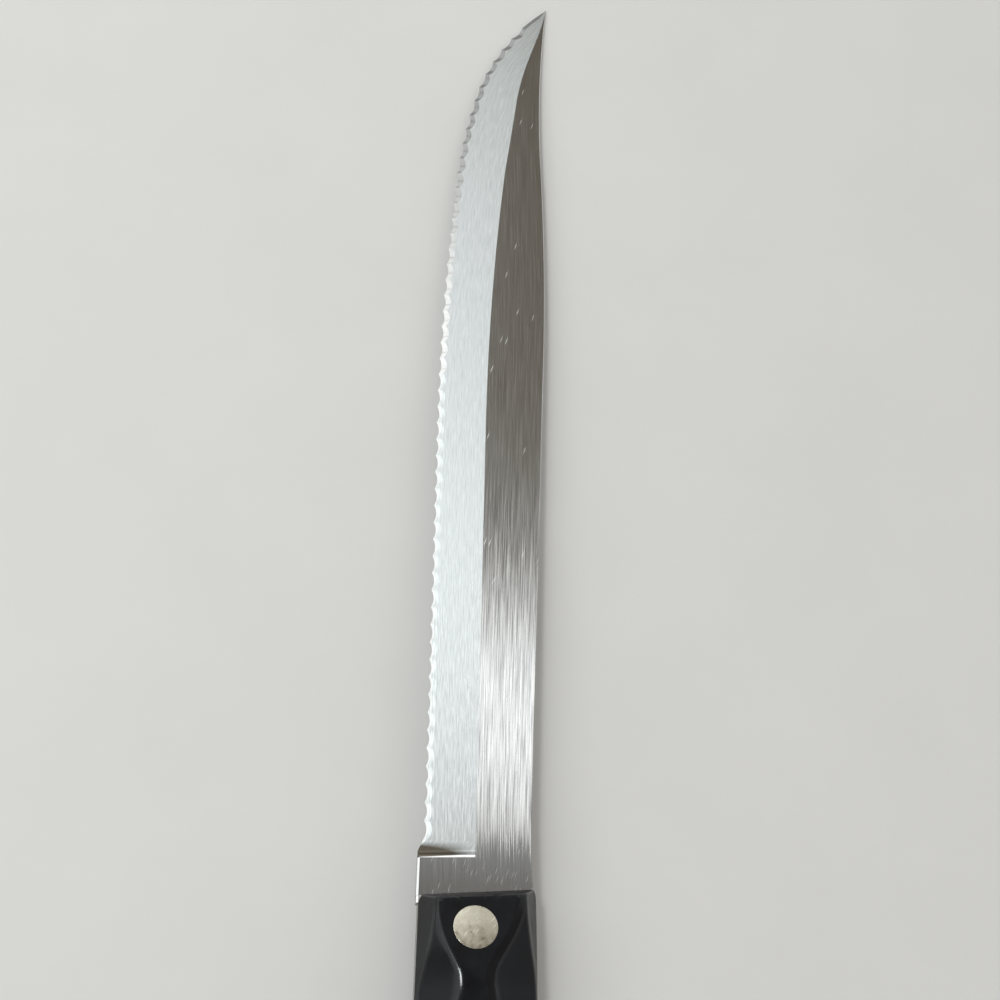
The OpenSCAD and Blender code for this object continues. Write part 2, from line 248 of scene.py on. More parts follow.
def makeScratchLines(g):
    # one thin stroke in each cell of a stretched and turned grid of cells, kept only in a share of them
    tree, given, out = newGroup(
        "scratchLines", dict(Vector=None, Angle=0.0, Along=60.0, Across=1500.0, Share=0.3), "Scratch")
    turned = addNode(tree, "ShaderNodeVectorRotate", {"Vector": given["Vector"], "Angle": given["Angle"]},
                     rotation_type="Z_AXIS").outputs[0]
    scale = addNode(tree, "ShaderNodeCombineXYZ", {0: given["Along"], 1: given["Across"]}).outputs[0]
    place = vectorOf(tree, "MULTIPLY", turned, scale)
    cells = addNode(tree, "ShaderNodeTexVoronoi", {"Vector": place, "Scale": 1.0}, voronoi_dimensions="2D")
    stroke = mapFrom(tree, cells.outputs["Distance"], *g["strokeSpan"])
    pick = addNode(tree, "ShaderNodeSeparateColor", {0: cells.outputs["Color"]}).outputs[0]
    kept = mathOf(tree, "LESS_THAN", pick, given["Share"])
    tree.links.new(mathOf(tree, "MULTIPLY", stroke, kept), out.inputs["Scratch"])
    return tree


def makeSmudges(g):
    # soft patches, Size to a metre, for wear and handling marks
    tree, given, out = newGroup("smudges", dict(Vector=None, Size=80.0), "Patch")
    noise = addNode(tree, "ShaderNodeTexNoise",
                    {"Vector": given["Vector"], "Scale": given["Size"], **g["smudgeNoise"]}).outputs[0]
    tree.links.new(mapFrom(tree, noise, *g["noiseSpan"]), out.inputs["Patch"])
    return tree


brushMarks = makeBrushMarks(groupSet)
scratchLines = makeScratchLines(groupSet)
smudges = makeSmudges(groupSet)


# Steel: one finish with its own strokes for each ground face. Contrast goes from the tip to the handle
# between the distances worn, in metres, and share is how many cells hold a light scratch, before and on the
# ricasso. The last two settings of each finish are painted shade, darkening the steel on the ricasso and at
# the tip.

steelSet = dict(
    flatSteel=dict(
        colours=((0.26, 0.26, 0.26), (1.0, 1.0, 0.99)), contrast=(0.2, 1.2), roughness=(0.13, 0.18),
        along=70.0, across=4200.0, seed=1.0, depth=0.8e-6, deeper=3.0, worn=(0.108, 0.072),
        share=(0.04, 0.45), scratchAngle=0.30, ricassoShade=0.52, tipShade=1.0),
    bevelSteel=dict(
        colours=((0.49, 0.515, 0.515), (0.89, 0.93, 0.93)), contrast=(0.5, 1.0), roughness=(0.20, 0.26),
        along=250.0, across=3600.0, seed=5.0, depth=1.0e-6, deeper=1.6, worn=(0.10, 0.03),
        share=(0.006, 0.006), scratchAngle=0.7, ricassoShade=0.9, tipShade=1.0),
    facetSteel=dict(
        colours=((0.66, 0.66, 0.65), (0.92, 0.92, 0.90)), contrast=(0.4, 0.4), roughness=(0.11, 0.15),
        along=900.0, across=300.0, seed=9.0, depth=0.6e-6, deeper=1.0, worn=(0.20, 0.13),
        share=(0.0, 0.0), scratchAngle=0.2, ricassoShade=1.0, tipShade=0.40),
    tangSteel=dict(
        colours=((0.34, 0.33, 0.31), (0.52, 0.51, 0.49)), contrast=(0.8, 0.8), roughness=(0.30, 0.42),
        along=50.0, across=2500.0, seed=13.0, depth=2.0e-6, deeper=1.0, worn=(0.10, 0.03),
        share=(0.05, 0.05), scratchAngle=0.1, ricassoShade=1.0, tipShade=1.0),
)
steelShared = dict(
    # a coarser set of marks under the fine one
    coarser=3.0, seedStep=20.0, fineShare=0.86, broadShare=0.14,
    # the ricasso in metres along the strokes, how far the marks shift its start, and what it leaves of them
    ricasso=(0.0145, 0.0095), ragged=0.012, ricassoMarks=0.15,
    scratchAlong=120.0, scratchAcross=1700.0, scratchTone=0.4, scratchRoughness=0.15, scratchCut=-2.5,
    # painted shade on the bevel's end: its colour, and the roughness there
    runOutShadeColour=(0.11, 0.095, 0.075), runOutRoughness=0.09,
)


def makeSteel(name, s, c):
    material, tree, shader = newMaterial(name)
    strokes = addNode(tree, "ShaderNodeUVMap", uv_map="strokes").outputs[0]
    fine = placeGroup(tree, brushMarks, Vector=strokes, Along=s["along"], Across=s["across"], Seed=s["seed"])
    broad = placeGroup(tree, brushMarks, Vector=strokes, Along=s["along"] / c["coarser"],
                       Across=s["across"] / c["coarser"], Seed=s["seed"] + c["seedStep"])
    marks = addValues(tree, mapTo(tree, fine, 0.0, c["fineShare"]), broad, c["broadShare"])
    centred = mathOf(tree, "SUBTRACT", marks, 0.5)
    # the marks stand out and cut deeper towards the handle, where the blade is wiped and rubbed most
    along = addNode(tree, "ShaderNodeSeparateXYZ", {0: strokes}).outputs[0]
    near = mapFrom(tree, along, *s["worn"], kind="SMOOTHSTEP")
    # on the ricasso the marks are faint and the strokes end raggedly, and painted shade darkens the steel
    # there
    ricasso = mapFrom(tree, addValues(tree, along, centred, c["ragged"]), *c["ricasso"])
    faint = mapTo(tree, ricasso, 1.0, c["ricassoMarks"])
    contrast = mathOf(tree, "MULTIPLY", mapTo(tree, near, *s["contrast"]), faint)
    swing = mathOf(tree, "MULTIPLY_ADD", centred, contrast, 0.5)
    scratch = placeGroup(tree, scratchLines, Vector=strokes, Angle=s["scratchAngle"], Along=c["scratchAlong"],
                         Across=c["scratchAcross"], Share=mapTo(tree, ricasso, *s["share"]))
    tone = addValues(tree, swing, scratch, c["scratchTone"])
    # painted shade: darker steel on the ricasso, and on the facets towards the tip
    shade = mathOf(tree, "MULTIPLY", mapTo(tree, ricasso, 1.0, s["ricassoShade"]),
                   mapTo(tree, near, s["tipShade"], 1.0))
    steel = addNode(tree, "ShaderNodeVectorMath", {0: mixColour(tree, tone, *s["colours"]), "Scale": shade},
                    operation="SCALE").outputs[0]
    satin = addValues(tree, mapTo(tree, marks, *s["roughness"]), scratch, c["scratchRoughness"])
    # painted shade at the bevel's end, standing in for the dark that its run-out reflects; the steel there is
    # also glossier
    runOut = addNode(tree, "ShaderNodeAttribute", attribute_name="runOut").outputs["Fac"]
    setSockets(tree, shader, {
        "Base Color": mixColour(tree, runOut, steel, c["runOutShadeColour"]),
        "Roughness": mixValue(tree, runOut, satin, c["runOutRoughness"]),
        "Metallic": 1.0,
    })
    deep = mathOf(tree, "MULTIPLY", mapTo(tree, near, 1.0, s["deeper"]), faint)
    cut = mathOf(tree, "MULTIPLY", marks, deep)
    addBump(tree, shader, addValues(tree, cut, scratch, c["scratchCut"]), s["depth"])
    return material


steelMaterials = [makeSteel(name, s, steelShared) for name, s in steelSet.items()]
flatZone, bevelZone, facetZone, tangZone = range(len(steelSet))


# Resin of the scales: black, with creases rubbed paler and glossier, the paler colour partly a painted
# highlight

resinSet = dict(
    # crease is the creases' paler colour: rubbing wear, and partly a painted highlight
    dark=(0.004, 0.004, 0.005), worn=(0.012, 0.013, 0.016), crease=(0.011, 0.012, 0.014),
    roughness=(0.25, 0.38), creaseRoughness=0.15, specular=0.20, coatRoughness=0.10, rubbing=(0.25, 0.65),
    smudgeSize=120.0, smudgeWear=0.8, grainSize=900.0, grainDepth=5e-6,
    scratches=dict(Angle=0.9, Along=120.0, Across=1500.0, Share=0.10), scratchWear=0.3, scratchCut=-0.8,
)


def makeResin(s):
    material, tree, shader = newMaterial("wornResin")
    place = addNode(tree, "ShaderNodeTexCoord").outputs["Object"]
    patch = placeGroup(tree, smudges, Vector=place, Size=s["smudgeSize"])
    grain = placeGroup(tree, smudges, Vector=place, Size=s["grainSize"])
    scratch = placeGroup(tree, scratchLines, Vector=place, **s["scratches"])
    wear = addValues(tree, mapTo(tree, patch, 0.0, s["smudgeWear"]), scratch, s["scratchWear"])
    body = mixColour(tree, wear, s["dark"], s["worn"])
    # creases rubbed paler and smoother, more in some patches than in others; the paler colour is wear and
    # partly a painted highlight
    crease = addNode(tree, "ShaderNodeAttribute", attribute_name="crease").outputs["Fac"]
    rubbed = mathOf(tree, "MULTIPLY", crease, mapTo(tree, patch, *s["rubbing"]))
    setSockets(tree, shader, {
        "Base Color": mixColour(tree, rubbed, body, s["crease"]),
        "Roughness": mixValue(tree, crease, mapTo(tree, patch, *s["roughness"]), s["creaseRoughness"]),
        "Coat Weight": rubbed,
        "Coat Roughness": s["coatRoughness"],
        "Specular IOR Level": s["specular"],
    })
    addBump(tree, shader, addValues(tree, grain, scratch, s["scratchCut"]), s["grainDepth"])
    return material


wornResin = makeResin(resinSet)


# Nickel silver of the rivets: pale gold, ground flush with the scales and scratched

rivetMetalSet = dict(
    colours=((0.58, 0.535, 0.42), (1.0, 0.96, 0.83)), roughness=(0.26, 0.38),
    mottleSize=900.0, mottleTone=(0.15, 0.55), mottleHeight=0.3, depth=3e-6,
    longScratches=dict(Angle=-1.0, Along=150.0, Across=900.0, Share=0.6),
    shortScratches=dict(Angle=-0.8, Along=220.0, Across=1700.0, Share=0.7),
    shortWeight=0.7, scratchTone=0.6, scratchCut=-0.3,
)


def makeRivetMetal(s):
    material, tree, shader = newMaterial("nickelSilver")
    place = addNode(tree, "ShaderNodeTexCoord").outputs["Object"]
    mottle = placeGroup(tree, smudges, Vector=place, Size=s["mottleSize"])
    long = placeGroup(tree, scratchLines, Vector=place, **s["longScratches"])
    short = placeGroup(tree, scratchLines, Vector=place, **s["shortScratches"])
    strokes = addValues(tree, long, short, s["shortWeight"])
    tone = addValues(tree, mapTo(tree, mottle, *s["mottleTone"]), strokes, s["scratchTone"])
    setSockets(tree, shader, {
        "Base Color": mixColour(tree, tone, *s["colours"]),
        "Roughness": mapTo(tree, mottle, *s["roughness"]),
        "Metallic": 1.0,
    })
    height = addValues(tree, mapTo(tree, mottle, 0.0, s["mottleHeight"]), strokes, s["scratchCut"])
    addBump(tree, shader, height, s["depth"])
    return material


nickelSilver = makeRivetMetal(rivetMetalSet)
print("materials made")


# Outline of the handle, shared by the tang and the scales

handleSet = dict(
    length=124.0, thickness=17.0, frontSlant=7.0, slantFade=40.0, frontRound=2.0,
    underX=-12.0, underY=-14.0, underRadius=2200.0,
    backX=14.5, backY=-59.0, backRadius=1100.0,
    buttX=-0.6, buttRadius=16.0, buttTurn=86.0,
    rivetX=-0.5, rivetYs=(-10.1, -60.05, -110.0), rivetReach=(8.5, 6.9, 8.5),
    headSeat=4.8, tubeHole=3.2, headDepth=2.0,
    tangHalf=0.97,
)


def underSide(h, y):
    # the underside is an arc that lies furthest in near the front and flares out to the butt
    return h["underX"] - h["underRadius"] + leg(h["underRadius"], y - h["underY"])


def backSide(h, y):
    return h["backX"] - h["backRadius"] + leg(h["backRadius"], y - h["backY"])


def handleGrid(h, rows, cols, lean):
    # rows of points across the handle, so many on the front's round, the straight and the butt's round. The
    # rows' ends draw in along the rounds, the front's slant fades out behind it, and the columns crowd
    # towards both sides: an even spacing and a cosine spacing are mixed by the share lean
    frontRows, longRows, buttRows = rows
    r, buttR = h["frontRound"], h["buttRadius"]
    buttY = buttR - h["length"]
    frontTurn = np.linspace(0.0, math.pi / 2, frontRows, endpoint=False)
    buttTurn = np.linspace(0.0, math.radians(h["buttTurn"]), buttRows)
    y = np.concatenate([-r * (1 - np.cos(frontTurn)), np.linspace(-r, buttY, longRows, endpoint=False),
                        buttY - buttR * np.sin(buttTurn)])
    corner = np.where(y > -r, r - leg(r, y + r), 0.0)
    butt = np.where(y < buttY, leg(buttR, y - buttY), np.inf)
    left = np.maximum(underSide(h, y) + corner, h["buttX"] - butt)
    right = np.minimum(backSide(h, y) - corner, h["buttX"] + butt)
    t = np.linspace(0.0, 1.0, cols)
    u = (1 - lean) * t + lean * (0.5 - 0.5 * np.cos(math.pi * t))
    x = left[:, None] + (right - left)[:, None] * u
    slope = math.tan(math.radians(h["frontSlant"])) * np.clip(1 + y / h["slantFade"], 0.0, 1.0)
    return x, y[:, None] + x * slope[:, None]


def punchedPlate(x, y, holes, topZ, lowZ, window=4, leastBlock=3, drawReach=0.8):
    # two sheets over the same grid, joined round the rim and through the holes. A hole is its x, y, upper
    # radius, seat height and lower radius. Round it a block of the grid is drawn to a circle: a point whose
    # larger block coordinate is m goes to the radius times m, and this fades out over drawReach beyond the
    # block. The faces inside the block are left out. The spacing is measured over window points to each side
    rows, cols = x.shape
    rowIndex, colIndex = np.indices(x.shape)
    quads = gridFaces(rows, cols)
    quadRow, quadCol = quads[:, 0] // cols, quads[:, 0] % cols
    keep = np.ones(len(quads), bool)
    sheets = [[x.copy(), y.copy()], [x.copy(), y.copy()]]
    loops, seats = [], []
    for holeX, holeY, upper, seatZ, lower in holes:
        i = int(np.argmin(np.abs(y[:, cols // 2] - holeY)))
        j = int(np.argmin(np.abs(x[i] - holeX)))
        lengths = abs(y[i + window, j] - y[i - window, j]), abs(x[i, j + window] - x[i, j - window])
        ni, nj = [max(leastBlock, int(round(upper / length * 2 * window))) for length in lengths]
        p, q = (rowIndex - i) / ni, (colIndex - j) / nj
        m = np.maximum(np.abs(p), np.abs(q))
        span = np.maximum(np.hypot(p, q), tiny)
        fade = np.clip((1 + drawReach - m) / drawReach, 0.0, 1.0)
        for sheet, radius in zip(sheets, (upper, lower)):
            sheet[0] += fade * (holeX + radius * m * q / span - sheet[0])
            sheet[1] += fade * (holeY - radius * m * p / span - sheet[1])
        keep &= ~((quadRow >= i - ni) & (quadRow < i + ni) & (quadCol >= j - nj) & (quadCol < j + nj))
        loops.append(rimLoop(cols, i - ni, i + ni, j - nj, j + nj))
        seats.append(seatZ)
    top = np.stack([*sheets[0], topZ(*sheets[0])], -1).reshape(-1, 3)
    low = np.stack([*sheets[1], np.full(x.shape, lowZ)], -1).reshape(-1, 3)
    size = len(top)
    verts, count = [top, low], 2 * size
    outer = rimLoop(cols, 0, rows - 1, 0, cols - 1)
    faces = [quads[keep], quads[keep] + size, ringFaces(outer, outer + size)]
    for loop, seatZ in zip(loops, seats):
        if seatZ is None:
            faces.append(ringFaces(loop, loop + size))
            continue
        around, seat = np.arange(len(loop)), np.full(len(loop), seatZ)
        verts += [np.c_[top[loop, :2], seat], np.c_[low[loop, :2], seat]]
        chain = [loop, count + around, count + len(loop) + around, loop + size]
        faces += [ringFaces(a, b) for a, b in zip(chain, chain[1:])]
        count += 2 * len(loop)
    return np.concatenate(verts), faces


# Blade: a loft through cross-sections square to the edge, with the tang as a second shell behind it

bladeSet = dict(
    length=226.9, thickness=2.0, rootWidth=25.0, ricasso=8.7, spineDip=0.85, dipLength=25.4, tipDrop=1.7,
    fallRadius=727.0, fallTurn=4.15, clipRadius=300.0, thinLength=44.5, tipThickness=0.9,
    bevelWidth=11.1, edgeThickness=0.3, edgeAngle=0.6, edgeInset=0.15,
    bellyRadius=756.0, bellyTurn=5.0, swellRadius=140.0, swellTurn=9.4, sweepRadius=53.0,
    plungeRadius=1.2, plungeSlant=4.6, heelLength=2.9, heelThinning=6.0,
    toothPitch=4.17, toothDepth=0.55, scallopTilt=22.0, facetLimit=3.0,
    tipPlain=7.0, leastFlat=0.15, tipBlunt=0.25, shoulderGap=0.05, heelBack=3.1, tangRelief=0.03,
    # the scene's own forms: step, run-out and rolled edge at the bevel's end, the ricasso's lip, the flat at
    # the tip, the spine's round and the tongue's inset
    stepDepth=0.4, stepLength=0.1, runOut=1.0, plungeRound=0.6, plungeRoll=0.035,
    lipWidth=0.45, lipAngle=27.0, tipFlat=0.2, tipBlend=3.0, spineRound=0.18, tongueInset=0.01,
    # finish: painted shade at the bevel's end, and the facets' bright rim with the tooth up to which it is
    # seen
    shadeLength=3.4, shadeDepth=3.0, rimShare=0.3, rimTeeth=27,
    # numbers of stations, rows and steps, finer than those of the solids
    ricassoStations=10, ricassoReach=0.93, heelStations=30, cutsPerTooth=16, tipStations=25,
    spineCuts=4, spineSteps=6, tangRows=(6, 150, 24), tangCols=40, tangLean=0.3, tongueRows=12,
    sharpAngle=30.0,
)
# first columns of a section, each of which starts a strip of faces: the facet's rim, the rest of the facet,
# the bevel, the flat and the spine, after which come the flat and the bevel of the other side
rimCol, facetCol, bevelCol, flatCol, spineCol = range(5)


def bevelSlope(b):
    return (b["thickness"] - b["edgeThickness"]) / 2 / b["bevelWidth"]


def spineLine(b):
    # the spine's x over y: a dip in front of the handle, a straight, a long fall and a hollow clip to the tip
    turn = math.radians(b["fallTurn"])
    spineX = b["rootWidth"] / 2 - b["spineDip"]
    dipR = (b["dipLength"] ** 2 + b["spineDip"] ** 2) / (2 * b["spineDip"])
    fallDrop = b["fallRadius"] * (1 - math.cos(turn))
    clipTurn = math.acos(math.cos(turn) - (fallDrop - b["tipDrop"]) / b["clipRadius"])
    clipY = b["length"] - b["clipRadius"] * (math.sin(turn) + math.sin(clipTurn))
    fallY = clipY - b["fallRadius"] * math.sin(turn)
    centreX = spineX - fallDrop + b["clipRadius"] * math.cos(turn)
    centreY = clipY + b["clipRadius"] * math.sin(turn)

    def spineAt(y):
        dip = spineX + dipR - leg(dipR, y - b["dipLength"])
        fall = spineX - b["fallRadius"] + leg(b["fallRadius"], y - fallY)
        clip = centreX - leg(b["clipRadius"], y - centreY)
        return np.select([y < b["dipLength"], y < fallY, y < clipY], [dip, spineX + 0 * y, fall], clip)

    return spineAt, spineX - b["tipDrop"]


def edgeLine(b, tipX):
    # the edge: a straight and three arcs, each starting at the heading where the last one ends.
    # Headings turn from +Y towards +X, and an arc's point is its start plus r(cos a - cos b, sin b - sin a).
    angle = math.radians(b["edgeAngle"])
    radii = [b["bellyRadius"], b["swellRadius"], b["sweepRadius"]]
    headings = [-angle, -angle + math.radians(b["bellyTurn"])]
    headings.append(headings[1] + math.radians(b["swellTurn"]))
    bellyX = -b["rootWidth"] / 2 + b["edgeInset"]
    rise = sum(r * (math.cos(h) - math.cos(k)) for r, h, k in zip(radii, headings, headings[1:]))
    headings.append(math.acos(math.cos(headings[2]) - (tipX - bellyX - rise) / radii[2]))
    reach = sum(r * (math.sin(k) - math.sin(h)) for r, h, k in zip(radii, headings, headings[1:]))
    bellyY = b["length"] - reach
    heelY = b["ricasso"] + b["heelLength"]
    heelX = bellyX + math.tan(angle) * (bellyY - heelY)
    straight = (bellyY - heelY) / math.cos(angle)
    arcs, x, y, s = [], bellyX, bellyY, straight
    for r, h, k in zip(radii, headings, headings[1:]):
        arcs.append((x, y, s, r, h))
        x, y, s = x + r * (math.cos(h) - math.cos(k)), y + r * (math.sin(k) - math.sin(h)), s + r * (k - h)

    def edgeAt(d):
        place = [heelX - d * math.sin(angle), heelY + d * math.cos(angle), -angle + 0 * d]
        for x0, y0, s0, r, h in arcs:
            k = h + np.maximum(d - s0, 0.0) / r
            on = d >= s0
            place = [np.where(on, x0 + r * (math.cos(h) - np.cos(k)), place[0]),
                     np.where(on, y0 + r * (np.sin(k) - math.sin(h)), place[1]), np.where(on, k, place[2])]
        return np.stack(place)

    def edgeX(y):
        x = bellyX + math.tan(angle) * (bellyY - y)
        for x0, y0, _, r, h in arcs:
            x = np.where(y >= y0, x0 + r * math.cos(h) - leg(r, y - y0 + r * math.sin(h)), x)
        return x

    return edgeAt, edgeX, s


def bladeStations(b, h, edgeAt, edgeLength):
    # stations from the handle to the tip: x and y on the lower side, a heading, half the thickness there, and
    # where the scallop's facet starts below and ends above
    slope, tilt = bevelSlope(b), math.tan(math.radians(b["scallopTilt"]))
    edgeT, half = b["edgeThickness"], b["thickness"] / 2
    heelX = -b["rootWidth"] / 2
    firstTooth = edgeAt(np.zeros(1))[:, 0]
    heelHalf = max(edgeT / b["heelThinning"], edgeT / 2 - (firstTooth[0] - heelX) * slope)
    slant, plunge = math.radians(h["frontSlant"]), math.radians(b["plungeSlant"])

    def facetEnd(low):
        return (edgeT + low * (tilt + slope)) / (tilt - slope)

    # ricasso, from the shoulder at the handle to the bevel's end
    plungeTurn = math.asin(1 - (half - heelHalf) / b["plungeRadius"])
    rootY = heelX * math.tan(slant) + b["shoulderGap"]
    plungeY = b["ricasso"] - b["plungeRadius"] * math.cos(plungeTurn)
    k = np.append(np.linspace(0.0, b["ricassoReach"], b["ricassoStations"]),
                  1 - b["plungeRound"] / (plungeY - rootY))
    zero = 0 * k
    ricasso = np.stack([heelX + zero, rootY + (plungeY - rootY) * k, -slant + (slant - plunge) * k,
                        half + zero, zero, zero])
    # end of the bevel: a short step below the ricasso's face and the wheel's round run-out, on which the heel
    # steps in from the ricasso's width to the first tooth
    ahead = np.linspace(b["stepLength"], firstTooth[1] - plungeY, b["heelStations"])[:-1]
    y = np.append(0.0, ahead) + plungeY
    part = np.clip((y - b["ricasso"]) / b["heelLength"], 0.0, 1.0)
    runDepth = half - heelHalf - b["stepDepth"]
    runR = (b["runOut"] ** 2 + runDepth ** 2) / (2 * runDepth)
    rise = runR - leg(runR, np.clip(plungeY + b["stepLength"] + b["runOut"] - y, 0.0, b["runOut"]))
    rise[0] = half - heelHalf - b["plungeRoll"]
    heel = np.stack([heelX + (firstTooth[0] - heelX) * part, y, -plunge + (firstTooth[2] + plunge) * part,
                     heelHalf + (edgeT / 2 - heelHalf) * part + rise, 0 * y, facetEnd(0.0) * part])
    # teeth
    cuts = b["cutsPerTooth"]
    teeth = int((edgeLength - b["tipPlain"]) / b["toothPitch"])
    i = np.arange(teeth * cuts + 1)
    low = b["toothDepth"] * (1 - (2 * (i % cuts) / cuts - 1) ** 2)
    toothed = np.vstack([edgeAt(i * b["toothPitch"] / cuts), edgeT / 2 + 0 * low, low, facetEnd(low)])
    # plain edge at the tip
    toTip = edgeLength - teeth * b["toothPitch"] - b["tipBlunt"]
    k = np.linspace(0.0, 1.0, b["tipStations"])[1:]
    plain = np.vstack([edgeAt(teeth * b["toothPitch"] + toTip * k), edgeT / 2 + 0 * k, 0 * k,
                       facetEnd(0.0) + 0 * k])
    firstGround = ricasso.shape[1]
    toothRows = firstGround + heel.shape[1] + np.arange(teeth + 1) * cuts
    return np.concatenate([ricasso, heel, toothed, plain], axis=1), firstGround, toothRows, plungeY


def bladeLoft(b, h):
    # a section at each station, drawn inwards and square to the heading, up to the spine
    spineAt, tipX = spineLine(b)
    edgeAt, edgeX, edgeLength = edgeLine(b, tipX)
    stations, firstGround, toothRows, plungeY = bladeStations(b, h, edgeAt, edgeLength)
    x, y, turn, halfT, low, high = stations
    slope = bevelSlope(b)
    # distance to the spine, found in steps because the spine's x depends on it
    spine = np.full(len(x), b["rootWidth"])
    for _ in range(b["spineSteps"]):
        spine = (spineAt(y - spine * np.sin(turn)) - x) / np.cos(turn)
    high = np.minimum(high, spine / b["facetLimit"])
    # the bevel gets narrower as the blade gets thinner, and leaves a flat up to the tip
    over = edgeX(y) - x
    thinY = b["length"] - b["thinLength"]
    thinned = (b["thickness"] - b["tipThickness"]) / 2 / slope
    bevel = b["bevelWidth"] - thinned * (np.maximum(y - thinY, 0.0) / b["thinLength"]) ** 2
    bevel = softMin(bevel, (spine - over) * (1 - b["tipFlat"]), b["tipBlend"])[0]
    bevel = np.minimum(bevel, spine - over - b["leastFlat"])
    grind = over + bevel
    t = b["edgeThickness"] / 2 + bevel * slope
    ground = (t - halfT) / grind
    r = np.minimum(b["spineRound"], t / 2)
    arc = np.radians(np.linspace(0.0, 90.0, b["spineCuts"]))[:, None]
    roundD, roundZ = spine - r * (1 - np.sin(arc)), t - r * (1 - np.cos(arc))
    # the lip rubbed along the ricasso's lower edge; on the teeth its start is a point of the facet
    onRicasso = np.arange(len(x)) < firstGround
    lip = np.where(onRicasso, b["lipWidth"], 0.0)
    lowZ, highZ = -halfT - low * ground, halfT + high * ground
    lipD = low + (high - low) * b["rimShare"]
    lipZ = np.where(onRicasso, highZ - lip * math.tan(math.radians(b["lipAngle"])),
                    lowZ + (highZ - lowZ) * b["rimShare"])
    across = np.vstack([low, lipD, high + lip, grind, roundD, roundD[::-1], grind]).T
    height = np.vstack([lowZ, lipZ, highZ, t, roundZ, -roundZ[::-1], -t]).T
    verts = np.stack([x[:, None] + across * np.cos(turn)[:, None],
                      y[:, None] - across * np.sin(turn)[:, None], height], -1)
    along = np.concatenate([[0.0], np.cumsum(np.hypot(np.diff(x), np.diff(y)))])
    strokesEdge = np.stack([np.broadcast_to(along[:, None], across.shape), across], -1)
    strokesSpine = np.stack([verts[..., 1], spine[:, None] - across], -1)
    # painted shade on the bevel's end, for the dark its run-out reflects: most beside the ricasso, nothing at
    # the grind line
    runOut = np.zeros(across.shape)
    dark = np.clip(1 - (y[firstGround:, None] - plungeY) / b["shadeLength"], 0.0, 1.0)
    runOut[firstGround:, :flatCol] = b["shadeDepth"] * dark
    return verts, strokesEdge, strokesSpine, runOut, firstGround, toothRows, spineAt


def tangPlate(b, h, spineAt):
    # the plate between the scales, with the handle's outline
    x, y = handleGrid(h, b["tangRows"], b["tangCols"], b["tangLean"])
    holes = [(h["rivetX"], rivetY, h["tubeHole"], None, h["tubeHole"]) for rivetY in h["rivetYs"]]
    verts, faces = punchedPlate(x, y, holes, lambda px, py: np.full(px.shape, h["tangHalf"]), -h["tangHalf"])
    # the tongue with which it runs on inside the ricasso, a closed grid with the same lip
    k = np.linspace(-b["heelBack"], b["ricasso"] / 2, b["tongueRows"])
    left, right = 0 * k - b["rootWidth"] / 2 + b["tangRelief"], spineAt(k) - b["tangRelief"]
    z = 0 * k + h["tangHalf"] - b["tongueInset"]
    lip = z - b["lipWidth"] * math.tan(math.radians(b["lipAngle"]))
    section = [(left, -z), (left, lip), (left + b["lipWidth"], z), (right, z), (right, -z)]
    tongue = np.stack([np.stack([px, k, pz], -1) for px, pz in section], 1)
    rows, cols = tongue.shape[:2]
    ends = np.array([np.arange(cols), (rows - 1) * cols + np.arange(cols)])
    faces += [gridFaces(rows, cols, closed=True) + len(verts), ends + len(verts)]
    return dropUnused(np.concatenate([verts, tongue.reshape(-1, 3)]), faces)


def bladeZones(b, loftShape, tangFaces, firstGround, toothRows):
    # the finish of each face: loft, its two ends, tang, tongue and the tongue's two ends
    rows, cols = loftShape
    row, strip = np.divmod(np.arange((rows - 1) * cols), cols)
    ground = row >= firstGround
    bevel = ground & ((strip < flatCol) | (strip == cols - 1))
    # up to the tooth rimTeeth only a facet's rim looks polished, beyond it the whole facet, which painted
    # shade darkens towards the tip; the lip and the rolled edge at the bevel's end are rubbed as bright
    polished = ground & ((strip == rimCol) | (strip == facetCol) & (row >= toothRows[b["rimTeeth"]]))
    rubbed = ~ground & (strip == facetCol) | (row == firstGround - 1) & (strip == bevelCol)
    loft = np.select([polished | rubbed, bevel], [facetZone, bevelZone], flatZone)
    *plates, sides, ends = tangFaces
    tongue = np.full(len(sides), flatZone)
    tongue[facetCol::ends.shape[1]] = facetZone
    flatEnds = np.full(len(ends), flatZone)
    return np.concatenate([loft, flatEnds, np.full(sum(map(len, plates)), tangZone), tongue, flatEnds])


def addStrokes(mesh, zone, edgeUv, spineUv):
    # stroke coordinates in metres: along and in from the edge on bevel and facets, from the spine elsewhere
    corner = np.zeros(len(mesh.loops), np.int32)
    mesh.loops.foreach_get("vertex_index", corner)
    total = np.zeros(len(mesh.polygons), np.int32)
    mesh.polygons.foreach_get("loop_total", total)
    onEdge = np.isin(np.repeat(zone, total), [bevelZone, facetZone])[:, None]
    uv = np.where(onEdge, edgeUv[corner], spineUv[corner]) * mm
    mesh.uv_layers.new(name="strokes").data.foreach_set("uv", uv.astype(np.float32).ravel())


def markCrisp(mesh, offset, cols, toothRows):
    # crisp lines: edge, facet, grind lines, start of the spine's rounding and the tips between scallops
    ends = np.zeros(2 * len(mesh.edges), np.int32)
    mesh.edges.foreach_get("vertices", ends)
    a, c = ends.reshape(-1, 2).T
    inLoft = (a < offset) & (c < offset)
    lines = [*range(spineCol + 1), cols - 2, cols - 1]
    lengthwise = inLoft & (a % cols == c % cols) & np.isin(a % cols, lines)
    crosswise = inLoft & (a // cols == c // cols) & (a % cols < flatCol) & (c % cols < flatCol)
    crisp = lengthwise | crosswise & np.isin(a // cols, toothRows)
    sharp = np.zeros(len(mesh.edges), bool)
    attribute = mesh.attributes.get("sharp_edge") or mesh.attributes.new("sharp_edge", "BOOLEAN", "EDGE")
    attribute.data.foreach_get("value", sharp)
    attribute.data.foreach_set("value", sharp | crisp)


